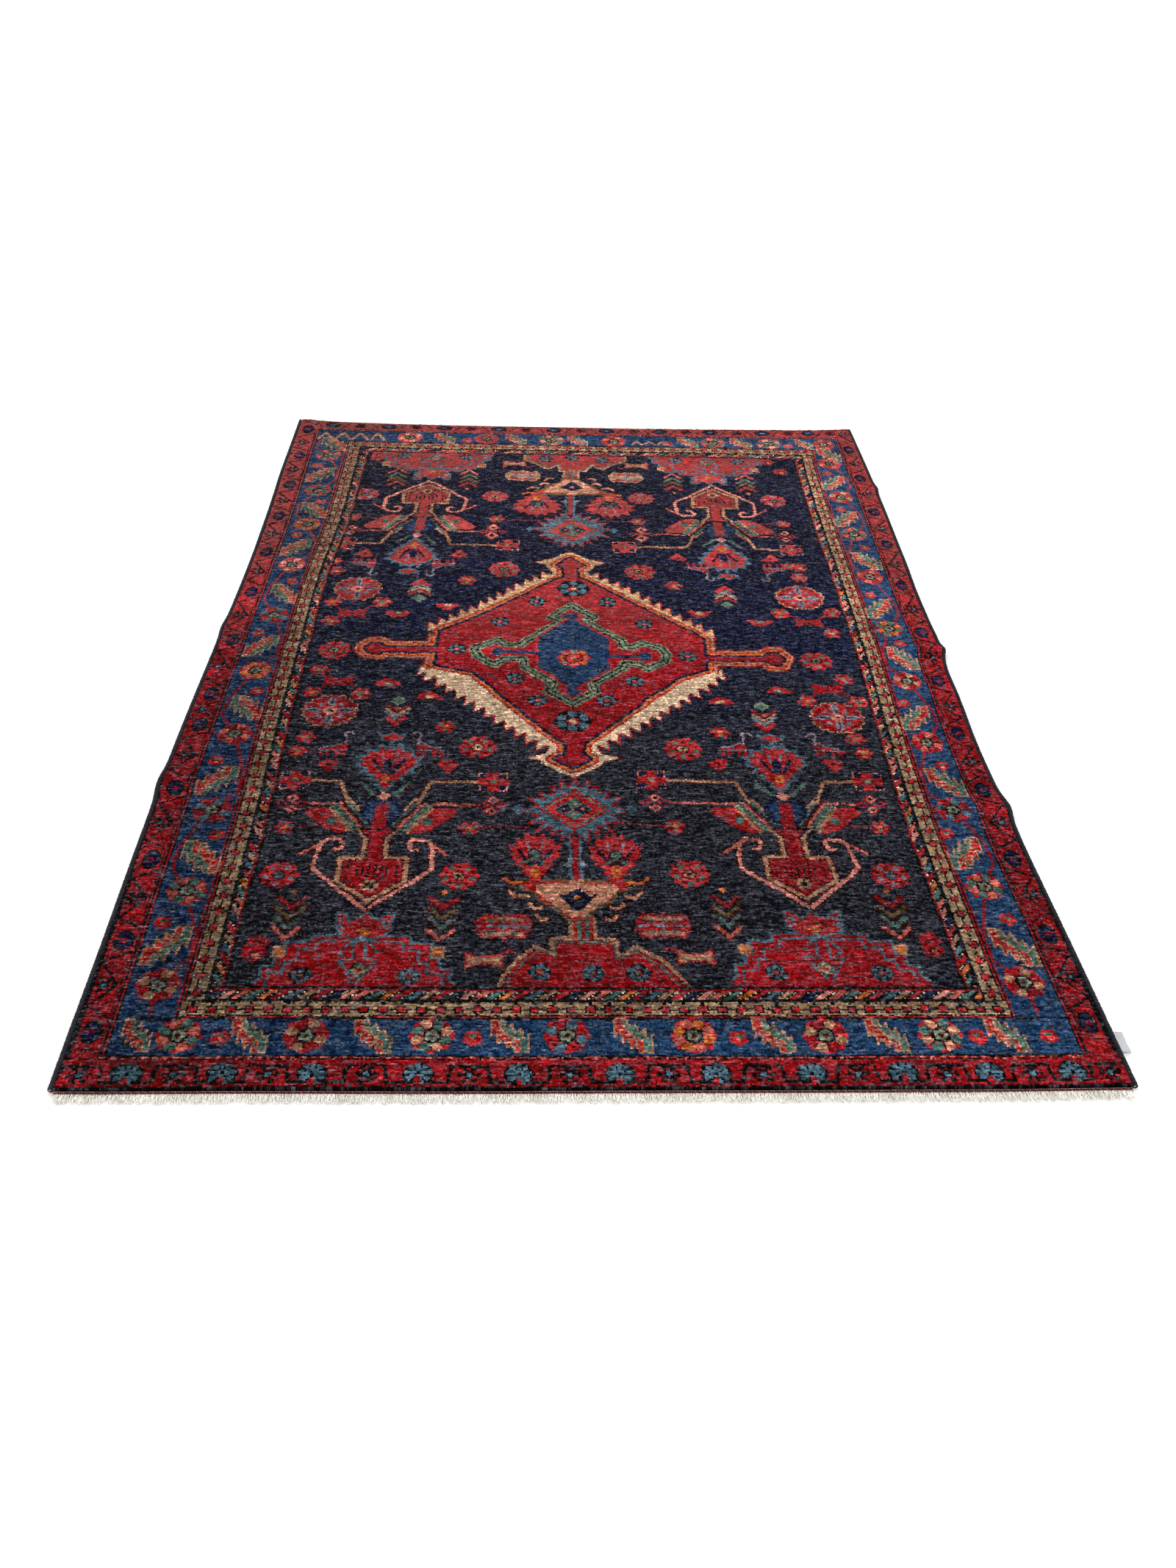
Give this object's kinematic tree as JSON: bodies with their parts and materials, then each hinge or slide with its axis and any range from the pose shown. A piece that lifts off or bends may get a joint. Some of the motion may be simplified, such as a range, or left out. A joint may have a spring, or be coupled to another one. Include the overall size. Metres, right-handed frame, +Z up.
{
  "type": "area rug",
  "caption": "Hand-knotted wool pile rug with a serrated diamond medallion, nested borders, overcast sides and a short cut fringe at each end, laid flat as a floor covering.",
  "frame": {"origin": "middle of the woven rug, on its underside", "axes": "+Z up out of the pile, +Y along the length towards the back end, +X across the width"},
  "size_m": [1.363, 2.064, 0.009],
  "materials": {
    "cotton_ground_weave": "plain-woven cotton, matt",
    "dark_wool_overcasting": "overcast wool yarn, matt",
    "cotton_warp_cord": "plied cotton cord, matt",
    "red_black_wool_twining": "twined wool yarns, matt",
    "cotton_warp_ends": "cut cotton warp ends, matt",
    "woven_label_tape": "smooth woven tape, satin",
    "red_pile_outer_border": "knotted wool pile, soft sheen",
    "black_red_pile_line": "knotted wool pile, soft sheen",
    "blue_pile_main_border": "knotted wool pile, soft sheen",
    "gold_pile_guard": "knotted wool pile, soft sheen",
    "slashed_pile_guard": "knotted wool pile, soft sheen",
    "black_navy_pile_field": "knotted wool pile, soft sheen",
    "navy_pile_field": "knotted wool pile, soft sheen",
    "red_pile_medallion": "knotted wool pile, soft sheen",
    "blue_pile_centre": "knotted wool pile, soft sheen",
    "tan_pile_edge": "knotted wool pile, soft sheen",
    "orange_tan_pile_outline": "knotted wool pile, soft sheen",
    "red_blue_pile_diamond": "knotted wool pile, soft sheen",
    "red_pile_mound": "knotted wool pile, soft sheen"
  },
  "bodies": {
    "root": {"foundation": "cotton_ground_weave", "selvedge_wrap_left": "dark_wool_overcasting", "selvedge_wrap_right": "dark_wool_overcasting", "selvedge_core_left": "cotton_warp_cord", "selvedge_core_right": "cotton_warp_cord", "end_weave_front": "cotton_ground_weave", "end_weave_back": "cotton_ground_weave", "twining_front": "red_black_wool_twining", "twining_back": "red_black_wool_twining", "fringe_front": "cotton_warp_ends", "fringe_back": "cotton_warp_ends", "sewn_label": "woven_label_tape", "outer_border_front": "red_pile_outer_border", "outer_border_back": "red_pile_outer_border", "outer_border_left": "red_pile_outer_border", "outer_border_right": "red_pile_outer_border", "dotted_line_front": "black_red_pile_line", "dotted_line_back": "black_red_pile_line", "dotted_line_left": "black_red_pile_line", "dotted_line_right": "black_red_pile_line", "main_border_front": "blue_pile_main_border", "main_border_back": "blue_pile_main_border", "main_border_left": "blue_pile_main_border", "main_border_right": "blue_pile_main_border", "gold_guard_front": "gold_pile_guard", "gold_guard_back": "gold_pile_guard", "gold_guard_left": "gold_pile_guard", "gold_guard_right": "gold_pile_guard", "slash_guard_front": "slashed_pile_guard", "slash_guard_back": "slashed_pile_guard", "slash_guard_left": "slashed_pile_guard", "slash_guard_right": "slashed_pile_guard", "field_front_left": "black_navy_pile_field", "field_front_right": "black_navy_pile_field", "field_back_left": "navy_pile_field", "field_back_right": "navy_pile_field", "medallion_ground_front": "red_pile_medallion", "medallion_ground_back": "red_pile_medallion", "medallion_centre": "blue_pile_centre", "medallion_edge_front_left": "tan_pile_edge", "medallion_edge_front_right": "tan_pile_edge", "medallion_edge_back_left": "tan_pile_edge", "medallion_edge_back_right": "tan_pile_edge", "pendant_left": "orange_tan_pile_outline", "pendant_right": "orange_tan_pile_outline", "palmette_front": "orange_tan_pile_outline", "palmette_back": "orange_tan_pile_outline", "diamond_front": "red_blue_pile_diamond", "diamond_back": "red_blue_pile_diamond", "mound_front_left": "red_pile_mound", "mound_front_middle": "red_pile_mound", "mound_front_right": "red_pile_mound", "mound_back_left": "red_pile_mound", "mound_back_middle": "red_pile_mound", "mound_back_right": "red_pile_mound"}
  },
  "joints": []
}
